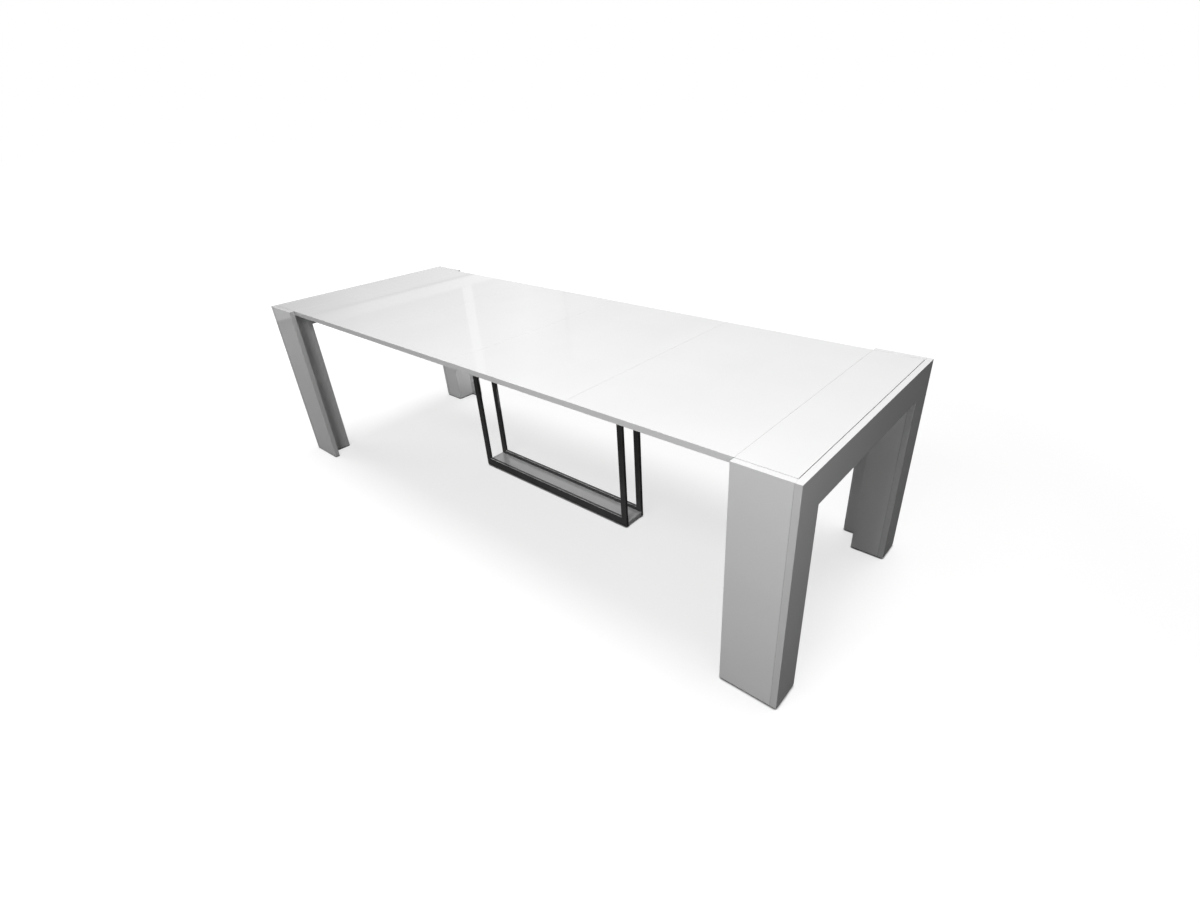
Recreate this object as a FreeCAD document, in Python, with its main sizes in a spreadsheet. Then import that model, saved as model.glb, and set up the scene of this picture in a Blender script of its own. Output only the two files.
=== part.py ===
import FreeCAD, Part
import os
import re
import Sketcher

# An extending dining table of the console type, pulled out to its full length with its leaves in place.
# Millimetres. +X runs along the table, -Y is its front, +Z is up, and the origin is on the floor under
# the middle. The left end is the right end turned half round, and so are the rails of the back.

LEAVES = 4
STAGES = 5
DOWEL_PLACES = (-1, 0, 1)
UP = FreeCAD.Vector(0, 0, 1)
ALONG_Y = FreeCAD.Vector(0, 1, 0)

SIZES = {
    # Overall
    "table_height": 760,
    "table_width": 950,
    "module_depth": 190,
    "leaf_pitch": 580,
    # Boards of the ends and the tops
    "board_thickness": 20,
    "panel_thickness": 18,
    "leg_width": 112,
    "leg_depth": 123,
    "top_rail_height": 112,
    "top_thickness": 20,
    "top_reveal": 2,
    "leaf_gap": 0.5,
    "top_edge_round": 0.5,
    "edge_round": 1,
    "glide_height": 4,
    "glide_diameter": 16,
    # Dowels between the leaves
    "dowel_diameter": 8,
    "dowel_length": 30,
    "dowel_inset": 148,
    "dowel_clearance": 0.3,
    "dowel_end_gap": 1,
    # Telescopic rails
    "rail_end_gap": 6,
    "rail_height": 60,
    "rail_pitch": 12,
    "rail_web": 4,
    "rail_arm": 6,
    "rail_lip_depth": 2.5,
    "rail_lip_height": 8,
    "rail_gap": 1,
    "rail_side_gap": 1,
    "rail_top_clearance": 0.3,
    "slide_clearance": 0.5,
    "closed_gap": 1,
    # What carries the fixed rails
    "rail_shelf_thickness": 18,
    "rail_shelf_setback": 20,
    "bridge_thickness": 18,
    "bridge_length": 120,
    "bridge_overhang": 12,
    "screw_diameter": 4,
    "screw_clearance": 0.2,
    "screw_head_diameter": 8,
    "screw_head_height": 2.5,
    "screw_bite": 4,
    "screw_inset": 20,
    "spacer_diameter": 10,
    "spacer_thickness": 2,
    # Rack under the middle and the swivel that carries it
    "rack_length": 896,
    "rack_depth": 110,
    "rack_post_width": 28,
    "rack_tube_depth": 13,
    "rack_bar_height": 40,
    "rack_tube_round": 2,
    "rack_shelf_lift": 8,
    "rack_shelf_thickness": 18,
    "rack_glide_diameter": 12,
    "rack_glide_inset": 60,
    "head_plate_length": 120,
    "head_plate_thickness": 6,
    "washer_diameter": 100,
    "washer_thickness": 4,
    "pin_diameter": 16,
    "pin_clearance": 0.3,
    "pin_flange_diameter": 30,
    "pin_flange_height": 6,
    "pin_tail": 4,
}

# Places and sizes that follow from the sheet
DERIVED = {
    "inner_edge": f"leaf_pitch * {LEAVES} / 2",
    "outer_face": "inner_edge + module_depth",
    "board_inside": "outer_face - board_thickness",
    "leg_start": "outer_face - leg_depth",
    "rail_shelf_start": "leg_start + rail_shelf_setback",
    "leg_inside": "table_width / 2 - leg_width",
    "top_half_width": "table_width / 2 - board_thickness - top_reveal",
    "under_top": "table_height - top_thickness",
    "leg_height": "under_top - glide_height",
    "stage_travel": f"(inner_edge - closed_gap) / {STAGES}",
    "rail_length": "2 * (closed_gap + module_depth - board_thickness - rail_end_gap)",
    "fixed_rail_end": f"stage_travel * {STAGES} + rail_length / 2",
    "rail_bottom": "under_top - rail_top_clearance - rail_height",
    "shelf_top": "rail_bottom - spacer_thickness",
    "rail_mouth": "rail_pitch - rail_gap",
    "lip_start": "rail_mouth - rail_lip_depth",
    "neck_depth": "rail_gap + rail_lip_depth + slide_clearance",
    "tongue_depth": "rail_pitch - rail_web - slide_clearance",
    "lip_top": "rail_arm + rail_lip_height",
    "first_rail": "rail_side_gap + tongue_depth - leg_inside",
    "bridge_half_width": f"bridge_overhang - first_rail - rail_pitch * {STAGES}",
    "bridge_bottom": "shelf_top - bridge_thickness",
    "plate_top": "bridge_bottom - washer_thickness",
    "rack_top": "plate_top - head_plate_thickness",
    "frame_inside": "rack_depth / 2 - rack_tube_depth",
    "pin_bore": "pin_diameter + 2 * pin_clearance",
}

doc = FreeCAD.newDocument("extending_dining_table")
sizes = doc.addObject("Spreadsheet::Sheet", "sizes")
for row, (name, number) in enumerate(SIZES.items(), start=1):
    sizes.set(f"A{row}", name)
    sizes.set(f"B{row}", str(number))
    sizes.setAlias(f"B{row}", name)
doc.recompute()

pieces = []


def formula(text):
    """The expression with each derived name written out and each size read from its cell."""

    def written_out(match):
        name = match.group()
        return f"({formula(DERIVED[name])})" if name in DERIVED else f"sizes.{name}"

    return re.sub(r"[a-z_]+", written_out, str(text))


def value(text):
    """The number that an expression gives now."""
    return float(sizes.evalExpression(formula(text)))


def bind(obj, **fields):
    """Ties properties of an object to expressions of the sheet's sizes."""
    for field, text in fields.items():
        obj.setExpression(field, formula(text))


def place(obj, x, y, z, turned=False, tilt=None):
    """Puts an object at x, y, z, or where that is once the table is turned half round."""
    sign = "-" if turned else ""
    turn = FreeCAD.Rotation(UP, 180 if turned else 0)
    if tilt:
        turn = turn * tilt
    obj.Placement = FreeCAD.Placement(FreeCAD.Vector(), turn)
    obj.setExpression("Placement.Base.x", formula(f"{sign}({x})"))
    obj.setExpression("Placement.Base.y", formula(f"{sign}({y})"))
    obj.setExpression("Placement.Base.z", formula(z))


def keep(obj, label):
    """Names a finished piece and puts it on the list of pieces to write."""
    obj.Label = label
    pieces.append(obj)


def draw(body, plane, loops):
    """A sketch of closed outlines, each corner tied to the sheet."""
    sketch = body.newObject("Sketcher::SketchObject", "outline")
    support = next(part for part in body.Origin.OriginFeatures if part.Role == plane)
    sketch.AttachmentSupport = [(support, "")]
    sketch.MapMode = "FlatFace"
    for corners in loops:
        first = sketch.GeometryCount
        points = [FreeCAD.Vector(value(across), value(up), 0) for across, up in corners]
        ends = points[1:] + points[:1]
        sketch.addGeometry([Part.LineSegment(start, end) for start, end in zip(points, ends)])
        joined, tied, texts = [], [], []
        for i, (corner, point) in enumerate(zip(corners, points)):
            following = first + (i + 1) % len(corners)
            joined.append(Sketcher.Constraint("Coincident", first + i, 2, following, 1))
            tied.append(Sketcher.Constraint("DistanceX", -1, 1, first + i, 1, point.x))
            tied.append(Sketcher.Constraint("DistanceY", -1, 1, first + i, 1, point.y))
            texts.extend(corner)
        sketch.addConstraint(joined)
        for index, text in zip(sketch.addConstraint(tied), texts):
            sketch.setExpression(f"Constraints[{index}]", formula(text))
    return sketch


def extrude(name, plane, loops, length, rounding=None):
    """A body padded from outlines, with all its edges rounded where a radius is given."""
    body = doc.addObject("PartDesign::Body", name)
    pad = body.newObject("PartDesign::Pad", "pad")
    pad.Profile = draw(body, plane, loops)
    bind(pad, Length=length)
    if rounding:
        doc.recompute()
        fillet = body.newObject("PartDesign::Fillet", "edges")
        fillet.Base = (pad, ["Edge1"])
        fillet.UseAllEdges = True
        bind(fillet, Radius=rounding)
    return body


def rectangle(left, right, low, high):
    return [(left, low), (right, low), (right, high), (left, high)]


def board(name, size, corner, turned=False, rounding="edge_round"):
    """A flat board of the given size, with its lowest corner at the given place."""
    length, width, height = size
    body = extrude(name, "XY_Plane", [rectangle("0", length, "0", width)], height, rounding)
    place(body, *corner, turned)
    return body


def rod(diameter, length, x, y, z, turned=False, tilt=None):
    """A cylinder that stands on x, y, z, or starts there where it is tilted."""
    cylinder = doc.addObject("Part::Cylinder", "rod")
    bind(cylinder, Radius=f"({diameter}) / 2", Height=length)
    place(cylinder, x, y, z, turned, tilt)
    return cylinder


def group(members, kind="Part::Compound"):
    """Several solids as one object: loose in a compound, or joined by a fusion."""
    whole = doc.addObject(kind, "group")
    if kind == "Part::Compound":
        whole.Links = members
    else:
        whole.Shapes = members
    return whole


def drill(base, bores):
    """The base with the bores cut out of it."""
    cut = doc.addObject("Part::Cut", "drilled")
    cut.Base = base
    cut.Tool = group(bores)
    return cut


def screw_rod(diameter, spare_depth, x, y, board_thickness, turned):
    """A rod from the underside of a board, through it and a spacer, and into the rail above."""
    length = f"{board_thickness} + spacer_thickness + screw_bite + {spare_depth}"
    return rod(diameter, length, x, y, f"shelf_top - {board_thickness}", turned)


def screw_bore(x, y, board_thickness, turned):
    """The clearance hole of a rail screw, right through the board and blind in the rail."""
    return screw_rod("screw_diameter + 2 * screw_clearance", "screw_clearance", x, y, board_thickness, turned)


def rail_fixing(x, y, board_thickness, turned):
    """A screw that holds a fixed rail, and the spacer ring that it clamps between rail and board."""
    shank = screw_rod("screw_diameter", "0", x, y, board_thickness, turned)
    head_bottom = f"shelf_top - {board_thickness} - screw_head_height"
    head = rod("screw_head_diameter", "screw_head_height", x, y, head_bottom, turned)
    ring = rod("spacer_diameter", "spacer_thickness", x, y, "shelf_top", turned)
    bore = screw_bore(x, y, board_thickness, turned)
    return [group([shank, head], "Part::MultiFuse"), drill(ring, [bore])]


def rail_fixings(places, board_thickness, turned=False):
    return group([part for x, y in places for part in rail_fixing(x, y, board_thickness, turned)])


def across(side, offset, thickness):
    """Where a board starts in Y that lies at an offset from the front or back face of the table."""
    if side == "front":
        return f"{offset} - table_width / 2"
    return f"table_width / 2 - ({offset}) - {thickness}"


def rail_place(member):
    """Where the web of a front rail starts in Y. Member 0 is the centre rail."""
    return f"first_rail + rail_pitch * {STAGES + member}"


def screw_line(member):
    """The Y of the screws under a front rail, halfway across its underside."""
    return f"{rail_place(member)} + rail_mouth / 2"


# Screws of the end that isn't turned: two under its front rail, and two under the back rail, which is
# the front rail of the other end turned half round.
END_SCREW_X = ("rail_shelf_start + screw_inset", "fixed_rail_end - screw_inset")
END_SCREWS = [(x, y) for x in END_SCREW_X for y in (screw_line(STAGES), f"-({screw_line(-STAGES)})")]
BRIDGE_SCREW_X = ("bridge_length / 2 - screw_inset", "screw_inset - bridge_length / 2")
BRIDGE_SCREWS = [(x, y) for x in BRIDGE_SCREW_X for y in (screw_line(0), f"-({screw_line(0)})")]


def end_frame(hand, turned):
    """The end board: two legs and the top rail between them in one piece."""
    half, inside = "table_width / 2", "leg_inside"
    low, crotch, high = "glide_height", "table_height - top_rail_height", "table_height"
    outline = [
        (f"-{half}", low), (f"-({inside})", low), (f"-({inside})", crotch), (inside, crotch),
        (inside, low), (half, low), (half, high), (f"-{half}", high),
    ]
    body = extrude(f"{hand}_end_board", "YZ_Plane", [outline], "board_thickness", "edge_round")
    place(body, "board_inside", "0", "0", turned)
    keep(body, f"{hand}_end_frame")


def leg_panels(hand, turned, side):
    """The three panels that close one leg behind the end board."""
    seen_side = side if not turned else {"front": "back", "back": "front"}[side]
    name = f"{hand}_{seen_side}"
    outer = board(
        f"{name}_outer",
        ("board_inside - inner_edge", "board_thickness", "table_height - glide_height"),
        ("inner_edge", across(side, "0", "board_thickness"), "glide_height"), turned,
    )
    keep(outer, f"{name}_side_panel")
    inner = board(
        f"{name}_inner",
        ("board_inside - leg_start", "panel_thickness", "leg_height"),
        ("leg_start", across(side, "leg_width - panel_thickness", "panel_thickness"), "glide_height"),
        turned,
    )
    keep(inner, f"{name}_leg_inner_panel")
    closing_width = "leg_width - board_thickness - panel_thickness"
    closing = board(
        f"{name}_closing",
        ("panel_thickness", closing_width, "leg_height"),
        ("leg_start", across(side, "board_thickness", f"({closing_width})"), "glide_height"), turned,
    )
    keep(closing, f"{name}_leg_closing_panel")


def end_top(hand, turned):
    """The top that lies flush inside the rim of one end."""
    body = board(
        f"{hand}_top",
        ("board_inside - top_reveal - inner_edge - leaf_gap / 2", "2 * top_half_width", "top_thickness"),
        ("inner_edge + leaf_gap / 2", "-top_half_width", "under_top"), turned, "top_edge_round",
    )
    keep(body, f"{hand}_end_top")


def rail_shelf(hand, turned):
    """The board between the legs of one end that its fixed rails stand on."""
    body = board(
        f"{hand}_shelf_board",
        ("board_inside - rail_shelf_start", "2 * leg_inside", "rail_shelf_thickness"),
        ("rail_shelf_start", "-leg_inside", "shelf_top - rail_shelf_thickness"), turned,
    )
    bores = [screw_bore(x, y, "rail_shelf_thickness", turned) for x, y in END_SCREWS]
    keep(drill(body, bores), f"{hand}_rail_shelf")
    keep(rail_fixings(END_SCREWS, "rail_shelf_thickness", turned), f"{hand}_rail_screws")


def feet(hand, turned):
    """Floor glides under the boards of both legs of one end."""
    places = (
        ("board_inside + board_thickness / 2", "table_width / 2 - leg_width / 2"),
        ("inner_edge + board_thickness", "table_width / 2 - board_thickness / 2"),
        ("leg_start + panel_thickness", "leg_inside + panel_thickness / 2"),
    )
    glides = [
        rod("glide_diameter", "glide_height", x, f"{sign}({y})", "0", turned)
        for x, y in places for sign in ("-", "")
    ]
    keep(group(glides), f"{hand}_feet")


def rail_outline():
    """The section of a rail: a web, a T-shaped tongue on its outer side and a lipped channel inside."""
    high, arm_top, lip_end = "rail_height", "rail_height - rail_arm", "rail_height - lip_top"
    neck_low, neck_high = "lip_top + slide_clearance", "rail_height - lip_top - slide_clearance"
    head_low, head_high = "rail_arm + slide_clearance", "rail_height - rail_arm - slide_clearance"
    return [
        ("0", "0"), ("rail_mouth", "0"), ("rail_mouth", "lip_top"),
        ("lip_start", "lip_top"), ("lip_start", "rail_arm"), ("rail_web", "rail_arm"),
        ("rail_web", arm_top), ("lip_start", arm_top), ("lip_start", lip_end),
        ("rail_mouth", lip_end), ("rail_mouth", high), ("0", high),
        ("0", neck_high), ("-neck_depth", neck_high), ("-neck_depth", head_high),
        ("-tongue_depth", head_high), ("-tongue_depth", head_low), ("-neck_depth", head_low),
        ("-neck_depth", neck_low), ("0", neck_low),
    ]


def rail_name(member, side):
    if member == 0:
        return f"centre_{side}_rail"
    return f"{'right' if member > 0 else 'left'}_{side}_rail_{abs(member)}"


def rail(member, turned):
    """One rail of the front runner, or the rail of the back runner that is its half turn."""
    label = rail_name(-member, "back") if turned else rail_name(member, "front")
    body = extrude(f"{label}_section", "YZ_Plane", [rail_outline()], "rail_length")
    place(body, f"stage_travel * {member} - rail_length / 2", rail_place(member), "rail_bottom", turned)
    if member not in (-STAGES, 0, STAGES):
        keep(body, label)
        return
    if member == 0:
        bores = [screw_bore(x, screw_line(0), "bridge_thickness", turned) for x in BRIDGE_SCREW_X]
    else:
        # The rail at the other end is bored as its own end is, turned half round.
        sign = "" if member > 0 else "-"
        bores = [
            screw_bore(f"{sign}({x})", screw_line(member), "rail_shelf_thickness", turned)
            for x in END_SCREW_X
        ]
    keep(drill(body, bores), label)


def dowel_rods(joint, diameter, half_length):
    """Rods across the joint after the leaf of that number."""
    along_x = FreeCAD.Rotation(ALONG_Y, 90)
    middle = f"leaf_pitch * {joint} - inner_edge"
    return [
        rod(diameter, f"2 * ({half_length})", f"{middle} - ({half_length})",
            f"(top_half_width - dowel_inset) * {step}", "table_height - top_thickness / 2", tilt=along_x)
        for step in DOWEL_PLACES
    ]


def dowel_bores(joint):
    return dowel_rods(
        joint, "dowel_diameter + 2 * dowel_clearance", "dowel_length / 2 + dowel_end_gap"
    )


def leaf(number):
    """A loose leaf with bores in the edges that meet other leaves, and the dowels in its far edge."""
    body = board(
        f"leaf_board_{number}",
        ("leaf_pitch - leaf_gap", "2 * top_half_width", "top_thickness"),
        (f"leaf_pitch * {number - 1} - inner_edge + leaf_gap / 2", "-top_half_width", "under_top"),
        rounding="top_edge_round",
    )
    joints = [joint for joint in (number - 1, number) if 0 < joint < LEAVES]
    keep(drill(body, [bore for joint in joints for bore in dowel_bores(joint)]), f"leaf_{number}")
    if number < LEAVES:
        keep(group(dowel_rods(number, "dowel_diameter", "dowel_length / 2")), f"leaf_{number}_dowels")


def centre_bridge():
    """The board that joins the two centre rails, with its screws and the pin that the rack turns on."""
    body = board(
        "bridge_board",
        ("bridge_length", "2 * bridge_half_width", "bridge_thickness"),
        ("-bridge_length / 2", "-bridge_half_width", "bridge_bottom"),
    )
    bores = [screw_bore(x, y, "bridge_thickness", False) for x, y in BRIDGE_SCREWS]
    bores.append(rod("pin_bore", "bridge_thickness", "0", "0", "bridge_bottom"))
    keep(drill(body, bores), "centre_bridge")
    keep(rail_fixings(BRIDGE_SCREWS, "bridge_thickness"), "bridge_screws")
    pin_low = "rack_top - pin_tail"
    shank = rod("pin_diameter", f"shelf_top - ({pin_low})", "0", "0", pin_low)
    flange = rod("pin_flange_diameter", "pin_flange_height", "0", "0", "shelf_top")
    keep(group([shank, flange], "Part::MultiFuse"), "pivot_pin")


def rack():
    """The leaf rack that stands under the middle and turns on the pin."""
    half = "rack_length / 2"
    inside = f"{half} - rack_post_width"
    loops = [
        rectangle(f"-{half}", half, "glide_height", "rack_top"),
        rectangle(f"-({inside})", inside, "glide_height + rack_bar_height", "rack_top - rack_post_width"),
    ]
    for side, y in (("front", "-frame_inside"), ("back", "rack_depth / 2")):
        loop = extrude(f"rack_{side}_loop", "XZ_Plane", loops, "rack_tube_depth", "rack_tube_round")
        place(loop, "0", y, "0")
        keep(loop, f"rack_{side}_frame")
    shelf = board(
        "rack_shelf_board",
        ("rack_length", "2 * frame_inside", "rack_shelf_thickness"),
        (f"-{half}", "-frame_inside", "rack_shelf_lift"),
    )
    keep(shelf, "rack_shelf")
    plate = board(
        "head_plate_blank",
        ("head_plate_length", "rack_depth", "head_plate_thickness"),
        ("-head_plate_length / 2", "-rack_depth / 2", "rack_top"),
    )
    plate_bore = rod("pin_bore", "head_plate_thickness", "0", "0", "rack_top")
    keep(drill(plate, [plate_bore]), "rack_head_plate")
    disc = rod("washer_diameter", "washer_thickness", "0", "0", "plate_top")
    disc_bore = rod("pin_bore", "washer_thickness", "0", "0", "plate_top")
    keep(drill(disc, [disc_bore]), "swivel_washer")
    glides = [
        rod("rack_glide_diameter", "glide_height", f"{sx}({half} - rack_glide_inset)",
            f"{sy}(rack_depth / 2 - rack_tube_depth / 2)", "0")
        for sx in ("-", "") for sy in ("-", "")
    ]
    keep(group(glides), "rack_feet")


for hand, turned in (("right", False), ("left", True)):
    end_frame(hand, turned)
    for side in ("front", "back"):
        leg_panels(hand, turned, side)
    end_top(hand, turned)
    rail_shelf(hand, turned)
    feet(hand, turned)
for turned in (False, True):
    for member in range(-STAGES, STAGES + 1):
        rail(member, turned)
for number in range(1, LEAVES + 1):
    leaf(number)
centre_bridge()
rack()
doc.recompute()

failed = [obj.Label for obj in doc.Objects if {"Invalid", "Error"} & set(obj.State)]
failed += [obj.Label for obj in pieces if obj.Shape.isNull() or not obj.Shape.isValid()]
if failed:
    raise RuntimeError(f"these objects failed: {failed}")
os.makedirs("parts", exist_ok=True)
for obj in pieces:
    obj.Shape.exportStep(f"parts/{obj.Label}.step")
print(f"{len(pieces)} pieces written")
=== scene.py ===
"""The finishes, light and camera of the extending dining table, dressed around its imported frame."""
import math

import bpy
from mathutils import Matrix, Vector

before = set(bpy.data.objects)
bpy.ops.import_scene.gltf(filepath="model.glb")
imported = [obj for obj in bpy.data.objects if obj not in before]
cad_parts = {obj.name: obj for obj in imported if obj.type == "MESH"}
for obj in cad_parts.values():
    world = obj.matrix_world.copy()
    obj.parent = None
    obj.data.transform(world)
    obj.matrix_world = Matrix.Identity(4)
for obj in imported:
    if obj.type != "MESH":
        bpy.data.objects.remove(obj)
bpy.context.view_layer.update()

# The photograph's frame and its lens, in pixels
PHOTO_WIDTH = 1200
PHOTO_HEIGHT = 923
FOCAL_LENGTH = 609.5
PRINCIPAL_POINT = (631.6, 462.3)

# Where the camera stands and what it sees, in metres, its heading in degrees and its sensor in millimetres
CAMERA_PLACE = (1.805, -1.589, 1.503)
CAMERA_HEADING = 130.62
CAMERA_PITCH = -30.14
CAMERA_ROLL = -2.56
CLIP_START = 0.05
CLIP_END = 200.0
SENSOR_WIDTH = 36.0

# The part of a noise pattern's range that holds nearly all of it
PATTERN_LOW = 0.3
PATTERN_HIGH = 0.7

# The lacquer: where the end boards meet the side panels, and how far painted shade darkens that seam and
# the end boards' front and back edges
SEAM_PLACE = max(corner[0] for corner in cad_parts["right_front_side_panel"].bound_box)
SEAM_HALF = 0.0006
SEAM_PAINTED_SHADE = 0.5
END_EDGE_PAINTED_SHADE = 0.12

# How far a face has to turn to the front or the back to count as an edge of the end boards
FACING_SIDEWAYS = 0.7

# The rack's paint: how much paler a painted highlight makes its long edges, and how far round an edge that
# starts and ends
EDGE_HIGHLIGHT_PALER = 9.0
EDGE_HIGHLIGHT_START = 0.15
EDGE_HIGHLIGHT_END = 0.35

# The light from above
KEY_STRENGTH = 2.18
KEY_ANGLE = 26
KEY_DIRECTION = (-0.05, -0.10, -1.0)
AMBIENT = 0.02

# The soft boxes: place, aim, size, power in watts and the angle of their spread
SOFT_BOXES = {
    "front_high": ((0.8, -2.4, 3.0), (0.4, 0.0, 0.3), (1.6, 0.8), 40, 180),
    "front_low": ((1.6, -2.8, 0.5), (0.9, 0.0, 0.4), (1.2, 0.4), 9, 180),
    "front_left": ((-2.6, -2.6, 1.9), (0.5, 0.1, 0.1), (0.6, 0.4), 5, 180),
    "left": ((-3.8, -1.3, 1.1), (0.2, 0.2, 0.4), (1.4, 0.8), 40, 180),
    "back": ((-0.5, 3.4, 0.5), (0.0, 0.0, 0.3), (2.0, 0.8), 24, 180),
    "corner": ((2.1, -1.1, 1.25), (1.3, -0.35, 0.55), (0.5, 0.4), 2.2, 180),
    "back_leg": ((-0.3, 0.1, 0.35), (-1.23, 0.41, 0.15), (0.15, 0.1), 0.16, 40),
}

# The floor: its own light near the table and far from it, and how much light it throws back
FLOOR_SIZE = 120.0
FLOOR_GLOW_NEAR = 0.70
FLOOR_GLOW_FAR = 0.90
FLOOR_NEAR_RADIUS = 2.2
FLOOR_FAR_RADIUS = 4.0
FLOOR_ALBEDO = 0.33
FLOOR_BOUNCE = 0.06
FLOOR_IN_GLOSS = 0.04

# The painted contact shadow where a foot stands: its reach, and the openness at which it is black and at
# which it ends
CONTACT_REACH = 0.012
CONTACT_DARK = 0.50
CONTACT_CLEAR = 0.80

# The walls that only reflections show: their distance, height and glow
WALL_DISTANCE = 4.0
WALL_HEIGHT = 3.0
BACK_WALL_HEIGHT = 1.95
WALL_GLOW = 1.5

# The walls' shade by height above the floor, with one paler band
SHADE_BY_HEIGHT = (
    (0.00, 0.70),
    (1.532, 0.82),
    (1.536, 0.64),
    (1.548, 0.64),
    (1.552, 0.96),
    (1.650, 0.96),
    (1.656, 0.82),
    (2.40, 0.82),
    (2.80, 0.74),
)

# The walls' shade by place, from the front wall to the back wall
SHADE_BY_PLACE = (
    (-4.0, 0.62),
    (-1.5, 0.50),
    (0.5, 0.14),
    (1.3, 0.48),
    (2.3, 0.68),
    (3.3, 0.89),
    (3.95, 0.84),
    (4.0, 0.65),
)

# The pale post on the walls, which shows as a streak in the top: its place, its foot and half its width
POST_PLACE = 2.5
POST_FOOT = 1.66
POST_HALF = 0.065
POST_GLOW = 0.30


def grey(level):
    return (level, level, level)


def opaque(level):
    return (*grey(level), 1.0)


class Nodes:
    """An emptied node tree, with short ways to add nodes to it."""

    def __init__(self, owner):
        owner.use_nodes = True
        self.tree = owner.node_tree
        self.tree.nodes.clear()

    def fill(self, socket, value):
        """Sets a socket to a value, or links another node's output to it."""
        if isinstance(value, bpy.types.NodeSocket):
            self.tree.links.new(value, socket)
        else:
            socket.default_value = value

    def node(self, kind, settings=None, **values):
        """A shader node with its settings, and with its inputs by name."""
        made = self.tree.nodes.new("ShaderNode" + kind)
        for key, value in (settings or {}).items():
            setattr(made, key, value)
        for key, value in values.items():
            self.fill(made.inputs[key.replace("_", " ")], value)
        return made

    def maths(self, operation, *values):
        """Arithmetic on up to three numbers."""
        made = self.node("Math", {"operation": operation})
        for socket, value in zip(made.inputs, values):
            self.fill(socket, value)
        return made.outputs["Value"]

    def both(self, first, second):
        """Two levels at once: their product."""
        return self.maths("MULTIPLY", first, second)

    def vector_maths(self, operation, vector, **values):
        """Arithmetic on a vector, with the node's outputs by name."""
        made = self.node("VectorMath", {"operation": operation}, **values)
        self.fill(made.inputs[0], vector)
        return made.outputs

    def sizes(self, vector):
        """How far a place is from the middle along each axis, or how far a face leans towards each."""
        whole = self.vector_maths("ABSOLUTE", vector)["Vector"]
        return self.node("SeparateXYZ", Vector=whole).outputs

    def scaled(self, colour, level):
        """A colour made darker or paler by a level."""
        return self.vector_maths("SCALE", colour, Scale=level)["Vector"]

    def spread(self, source, low, high, start=PATTERN_LOW, end=PATTERN_HIGH, **settings):
        """Maps a measure between start and end to the range low to high."""
        ends = {"From_Min": start, "From_Max": end, "To_Min": low, "To_Max": high}
        made = self.node("MapRange", settings, Value=source, **ends)
        return made.outputs["Result"]

    def ramp(self, source, *stops):
        """A colour ramp: pairs of a position and a colour."""
        made = self.node("ValToRGB", Fac=source)
        elements = made.color_ramp.elements
        while len(elements) < len(stops):
            elements.new(1.0)
        for element, (position, colour) in zip(elements, stops):
            element.position = position
            element.color = (*colour, 1.0)
        return made.outputs["Color"]

    def tint(self, source, dark, light, low=PATTERN_LOW, high=PATTERN_HIGH):
        """A pattern between two colours."""
        return self.ramp(source, (low, dark), (high, light))

    def shade(self, source, start, end, stops):
        """A ramp of greys between two ends of a measure: pairs of the measure and a grey."""
        share = self.spread(source, 0.0, 1.0, start, end)
        greys = [((measure - start) / (end - start), grey(tone)) for measure, tone in stops]
        return self.ramp(share, *greys)

    def joined(self, kind, first, second, **values):
        """Two shaders, added or mixed."""
        made = self.node(kind, **values)
        self.fill(made.inputs[-2], first.outputs[0])
        self.fill(made.inputs[-1], second.outputs[0])
        return made

    def show(self, shader, output="OutputMaterial"):
        """Links a shader to the tree's output."""
        self.node(output, Surface=shader.outputs[0])


class Finish(Nodes):
    """A procedural material: a Principled shader and the nodes that feed it."""

    def __init__(self, name, **values):
        self.material = bpy.data.materials.new(name)
        super().__init__(self.material)
        self.shader = self.node("BsdfPrincipled", **values)
        self.show(self.shader)
        coordinates = self.node("TexCoord")
        self.place = coordinates.outputs["Object"]
        self.facing = coordinates.outputs["Normal"]

    def feed(self, **values):
        """Links node outputs to the shader's own inputs."""
        for key, value in values.items():
            self.fill(self.shader.inputs[key.replace("_", " ")], value)

    def stretched(self, scale):
        """The piece's own coordinates, scaled along each axis."""
        return self.node("Mapping", Vector=self.place, Scale=scale).outputs["Vector"]

    def noise(self, scale, detail=2.0, roughness=0.5, vector=None):
        """A noise pattern over the piece's own coordinates, or over others."""
        source = vector or self.place
        made = self.node("TexNoise", Vector=source, Scale=scale, Detail=detail, Roughness=roughness)
        return made.outputs["Fac"]

    def bump(self, height, strength, distance):
        """A surface that a pattern raises and lowers."""
        made = self.node("Bump", Strength=strength, Distance=distance, Height=height)
        return made.outputs["Normal"]


def white_lacquer():
    finish = Finish("gloss_white_lacquer", IOR=1.5, Coat_Weight=0.25, Coat_Roughness=0.03)
    cloud = finish.noise(scale=3.0, detail=3.0)
    peel = finish.noise(scale=260.0, detail=1.5)
    haze = finish.noise(scale=14.0, detail=4.0, roughness=0.6)
    place = finish.sizes(finish.place)
    facing = finish.sizes(finish.facing)
    # Painted shade: the seam where the end boards meet the side panels, and the end boards' front and back
    # edges, are darkened in the colour
    sideways = finish.maths("GREATER_THAN", facing["Y"], FACING_SIDEWAYS)
    end_edge = finish.both(finish.maths("GREATER_THAN", place["X"], SEAM_PLACE), sideways)
    seam = finish.both(finish.maths("COMPARE", place["X"], SEAM_PLACE, SEAM_HALF), sideways)
    level = finish.maths("MULTIPLY_ADD", end_edge, -END_EDGE_PAINTED_SHADE, 1.0)
    level = finish.maths("MULTIPLY_ADD", seam, -SEAM_PAINTED_SHADE, level)
    white = finish.tint(cloud, grey(0.855), grey(0.885))
    finish.feed(
        Base_Color=finish.scaled(white, level),
        Roughness=finish.spread(haze, low=0.01, high=0.035),
        Normal=finish.bump(peel, strength=0.01, distance=0.0004),
    )
    return finish.material


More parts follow.
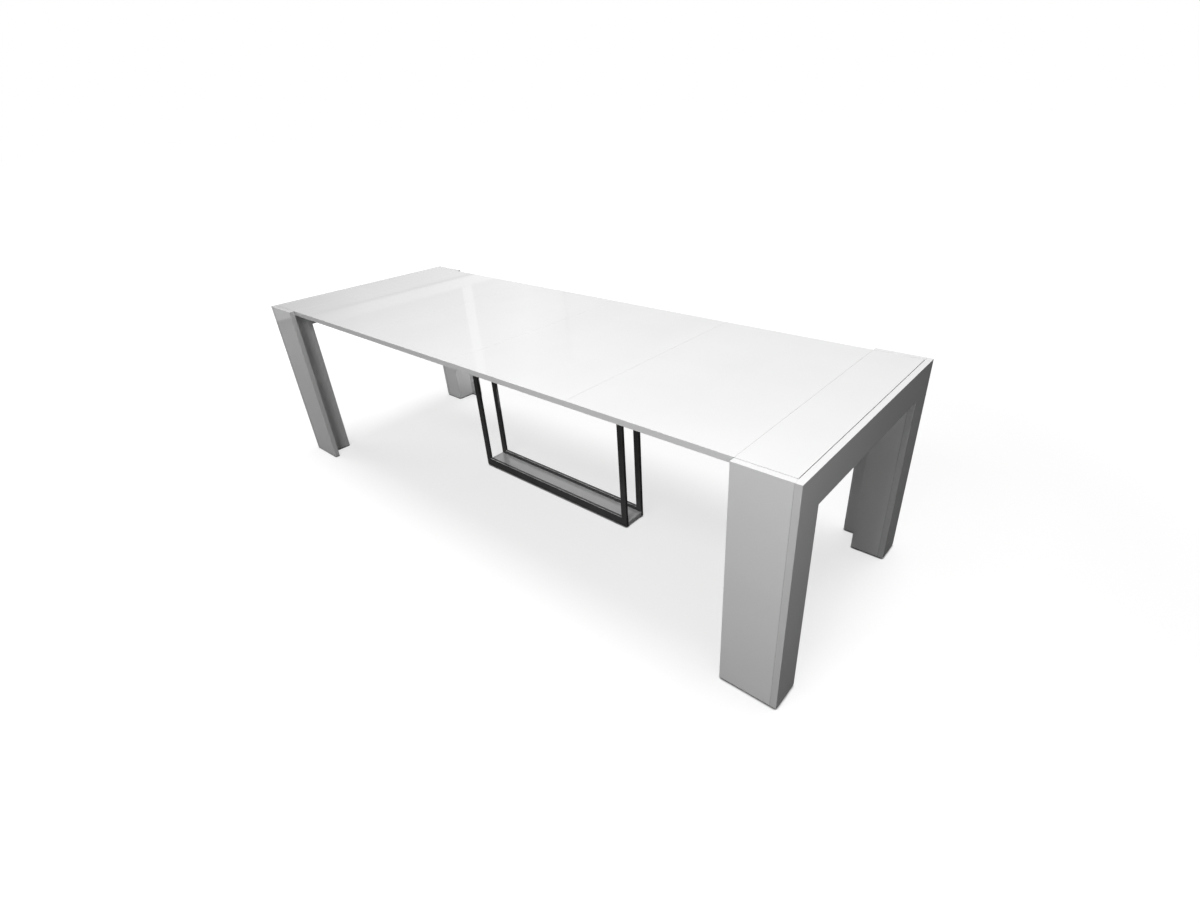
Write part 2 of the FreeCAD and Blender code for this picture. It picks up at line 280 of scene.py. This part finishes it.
def carcass_board():
    finish = Finish("white_melamine", IOR=1.5)
    pores = finish.noise(scale=900.0)
    cloud = finish.noise(scale=6.0, detail=3.0)
    finish.feed(
        Base_Color=finish.tint(cloud, grey(0.74), grey(0.79)),
        Roughness=finish.spread(cloud, low=0.38, high=0.5),
        Normal=finish.bump(pores, strength=0.15, distance=0.0003),
    )
    return finish.material


def black_steel():
    finish = Finish("black_powder_coat", IOR=1.36)
    grain = finish.noise(scale=1800.0)
    cloud = finish.noise(scale=11.0, detail=3.0)
    facing = finish.sizes(finish.facing)
    # Painted highlight: the long edges, which lean both up or down and to the front or back, are made paler
    # in the colour
    edge = finish.both(facing["Y"], facing["Z"])
    painted_edge_highlight = finish.spread(edge, 1.0, EDGE_HIGHLIGHT_PALER, EDGE_HIGHLIGHT_START, EDGE_HIGHLIGHT_END)
    black = finish.tint(cloud, grey(0.070), grey(0.088))
    finish.feed(
        Base_Color=finish.scaled(black, painted_edge_highlight),
        Roughness=finish.spread(grain, low=0.18, high=0.28),
        Normal=finish.bump(grain, strength=0.12, distance=0.0003),
    )
    return finish.material


def rail_aluminium():
    finish = Finish("anodised_aluminium", Metallic=1.0)
    streaks = finish.noise(scale=1.0, detail=3.0, vector=finish.stretched((6.0, 1400.0, 1400.0)))
    finish.feed(
        Base_Color=finish.tint(streaks, (0.66, 0.67, 0.68), (0.76, 0.77, 0.78)),
        Roughness=finish.spread(streaks, low=0.28, high=0.42),
        Normal=finish.bump(streaks, strength=0.12, distance=0.0002),
    )
    return finish.material


def zinc_steel():
    finish = Finish("zinc_plated_steel", Metallic=1.0)
    spangle = finish.node("TexVoronoi", Vector=finish.place, Scale=420.0).outputs["Color"]
    mottle = finish.noise(scale=900.0, detail=3.0)
    finish.feed(
        Base_Color=finish.tint(spangle, (0.54, 0.54, 0.56), (0.66, 0.66, 0.68), low=0.2, high=0.8),
        Roughness=finish.spread(mottle, low=0.25, high=0.42),
        Normal=finish.bump(mottle, strength=0.1, distance=0.0002),
    )
    return finish.material


def glide_plastic():
    finish = Finish("black_glide_plastic", IOR=1.46)
    grain = finish.noise(scale=1500.0)
    finish.feed(
        Base_Color=finish.tint(grain, grey(0.045), grey(0.065)),
        Roughness=finish.spread(grain, low=0.5, high=0.65),
        Normal=finish.bump(grain, strength=0.2, distance=0.0002),
    )
    return finish.material


def bearing_plastic():
    finish = Finish("white_bearing_plastic", IOR=1.48)
    grain = finish.noise(scale=1200.0)
    finish.feed(
        Base_Color=finish.tint(grain, (0.77, 0.77, 0.75), (0.82, 0.82, 0.80)),
        Roughness=finish.spread(grain, low=0.35, high=0.5),
        Normal=finish.bump(grain, strength=0.1, distance=0.0002),
    )
    return finish.material


def dowel_wood():
    finish = Finish("bare_beech", IOR=1.45)
    along = finish.stretched((25.0, 900.0, 900.0))
    grain = finish.noise(scale=1.0, detail=4.0, roughness=0.6, vector=along)
    flecks = finish.noise(scale=1.0, vector=finish.stretched((260.0, 2200.0, 2200.0)))
    finish.feed(
        Base_Color=finish.tint(grain, (0.58, 0.41, 0.25), (0.75, 0.58, 0.40)),
        Roughness=finish.spread(flecks, low=0.5, high=0.68),
        Normal=finish.bump(flecks, strength=0.2, distance=0.0002),
    )
    return finish.material


# The finish of each slot
FINISHES = {
    "white_lacquer": white_lacquer(),
    "carcass_board": carcass_board(),
    "black_steel": black_steel(),
    "rail_aluminium": rail_aluminium(),
    "steel": zinc_steel(),
    "glide_plastic": glide_plastic(),
    "bearing_plastic": bearing_plastic(),
    "dowel_wood": dowel_wood(),
}


def dress_frame():
    """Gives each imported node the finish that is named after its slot."""
    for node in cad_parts.values():
        for slot in node.material_slots:
            slot.material = FINISHES[slot.material.name.split(".")[0]]


def put(thing):
    """Puts an object in the scene."""
    bpy.context.scene.collection.objects.link(thing)


def add_camera():
    camera = bpy.data.cameras.new("camera")
    camera.sensor_width = SENSOR_WIDTH
    camera.lens = FOCAL_LENGTH * SENSOR_WIDTH / PHOTO_WIDTH
    camera.shift_x = (PHOTO_WIDTH / 2 - PRINCIPAL_POINT[0]) / PHOTO_WIDTH
    camera.shift_y = (PRINCIPAL_POINT[1] - PHOTO_HEIGHT / 2) / PHOTO_WIDTH
    camera.clip_start = CLIP_START
    camera.clip_end = CLIP_END
    heading = Matrix.Rotation(math.radians(CAMERA_HEADING - 90), 3, "Z")
    pitch = Matrix.Rotation(math.radians(90 + CAMERA_PITCH), 3, "X")
    roll = Matrix.Rotation(math.radians(CAMERA_ROLL), 3, "Z")
    eye = bpy.data.objects.new("camera", camera)
    eye.matrix_world = Matrix.Translation(CAMERA_PLACE) @ (heading @ pitch @ roll).to_4x4()
    put(eye)
    bpy.context.scene.camera = eye


def lamp(name, kind, direction, place=(0.0, 0.0, 0.0), **values):
    """A lamp that lights the table but shows neither to the camera nor in the gloss."""
    data = bpy.data.lights.new(name, kind)
    for key, value in values.items():
        setattr(data, key, value)
    made = bpy.data.objects.new(name, data)
    made.location = place
    made.rotation_mode = "QUATERNION"
    made.rotation_quaternion = Vector(direction).to_track_quat("-Z", "Y")
    made.visible_camera = False
    made.visible_glossy = False
    put(made)


def soft_box(name, place, aim, size, power, spread):
    """A rectangular lamp at a place that is aimed at a point."""
    lamp(
        name,
        "AREA",
        Vector(aim) - Vector(place),
        place,
        energy=power,
        spread=math.radians(spread),
        shape="RECTANGLE",
        size=size[0],
        size_y=size[1],
    )


def add_lamps():
    lamp("overhead", "SUN", KEY_DIRECTION, energy=KEY_STRENGTH, angle=math.radians(KEY_ANGLE))
    for name, values in SOFT_BOXES.items():
        soft_box(name, *values)


def add_world():
    """A dim room for the object, which the camera and the gloss see as a white backdrop."""
    world = bpy.data.worlds.new("studio")
    nodes = Nodes(world)
    room = nodes.node("Background", Color=opaque(AMBIENT))
    white = nodes.node("Background", Color=opaque(1.0))
    path = nodes.node("LightPath").outputs
    seen = nodes.maths("MAXIMUM", path["Is Camera Ray"], path["Is Transmission Ray"])
    shown = nodes.maths("MAXIMUM", seen, path["Is Glossy Ray"])
    nodes.show(nodes.joined("MixShader", room, white, Fac=shown), "OutputWorld")
    bpy.context.scene.world = world


def floor_material():
    """A floor that throws little light back, and that the camera sees as white with a soft shadow."""
    material = bpy.data.materials.new("studio_floor")
    nodes = Nodes(material)
    # Painted contact shadow: the floor's glow is darkened where ambient occlusion finds something close
    # above it
    openness = nodes.node("AmbientOcclusion", Distance=CONTACT_REACH).outputs["AO"]
    painted_contact_shadow = nodes.spread(openness, 0.0, 1.0, CONTACT_DARK, CONTACT_CLEAR)
    place = nodes.node("TexCoord").outputs["Object"]
    reach = nodes.vector_maths("LENGTH", place)["Value"]
    level = nodes.spread(
        reach,
        FLOOR_GLOW_NEAR,
        FLOOR_GLOW_FAR,
        FLOOR_NEAR_RADIUS,
        FLOOR_FAR_RADIUS,
        interpolation_type="SMOOTHSTEP",
    )
    glow = nodes.node("Emission", Color=painted_contact_shadow, Strength=level)
    shaded = nodes.node("BsdfDiffuse", Color=opaque(FLOOR_ALBEDO))
    pale = nodes.joined("AddShader", shaded, glow)
    dull = nodes.node("BsdfDiffuse", Color=opaque(FLOOR_BOUNCE))
    path = nodes.node("LightPath").outputs
    seen = nodes.maths("MAXIMUM", path["Is Camera Ray"], path["Is Transmission Ray"])
    shown = nodes.maths("MULTIPLY_ADD", path["Is Glossy Ray"], FLOOR_IN_GLOSS, seen)
    nodes.show(nodes.joined("MixShader", dull, pale, Fac=shown))
    return material


def wall_material():
    """Light that follows the height, with one paler band, and the place, with one pale post."""
    material = bpy.data.materials.new("studio_wall")
    nodes = Nodes(material)
    place = nodes.node("SeparateXYZ", Vector=nodes.node("TexCoord").outputs["Object"]).outputs
    by_height = nodes.shade(place["Z"], 0.0, WALL_HEIGHT, SHADE_BY_HEIGHT)
    by_place = nodes.shade(place["Y"], -WALL_DISTANCE, WALL_DISTANCE, SHADE_BY_PLACE)
    post = nodes.maths("COMPARE", place["Y"], POST_PLACE, POST_HALF)
    raised = nodes.maths("GREATER_THAN", place["Z"], POST_FOOT)
    level = nodes.maths("MULTIPLY_ADD", nodes.both(post, raised), POST_GLOW, WALL_GLOW)
    nodes.show(nodes.node("Emission", Color=by_height, Strength=nodes.both(level, by_place)))
    return material


def sheets(name, corners, material):
    """An object of four-cornered sheets, from the corners of all of them in turn."""
    faces = [(first, first + 1, first + 2, first + 3) for first in range(0, len(corners), 4)]
    mesh = bpy.data.meshes.new(name)
    mesh.from_pydata(corners, [], faces)
    mesh.materials.append(material)
    made = bpy.data.objects.new(name, mesh)
    put(made)
    return made


def add_floor():
    half = FLOOR_SIZE / 2
    corners = [(-half, -half, 0.0), (half, -half, 0.0), (half, half, 0.0), (-half, half, 0.0)]
    floor = sheets("floor", corners, floor_material())


def add_walls():
    """Four walls that nothing but reflections shows, as the gloss of the top needs a horizon."""
    far = WALL_DISTANCE
    feet = [(far, far), (-far, far), (-far, -far), (far, -far)]
    heights = [BACK_WALL_HEIGHT, WALL_HEIGHT, WALL_HEIGHT, WALL_HEIGHT]
    corners = []
    for start, end, height in zip(feet, feet[1:] + feet[:1], heights):
        corners += [(*start, 0.0), (*end, 0.0), (*end, height), (*start, height)]
    walls = sheets("walls", corners, wall_material())
    walls.visible_camera = False
    walls.visible_diffuse = False
    walls.visible_shadow = False


dress_frame()
add_camera()
add_lamps()
add_world()
add_floor()
add_walls()
bpy.context.scene.view_settings.view_transform = "Standard"
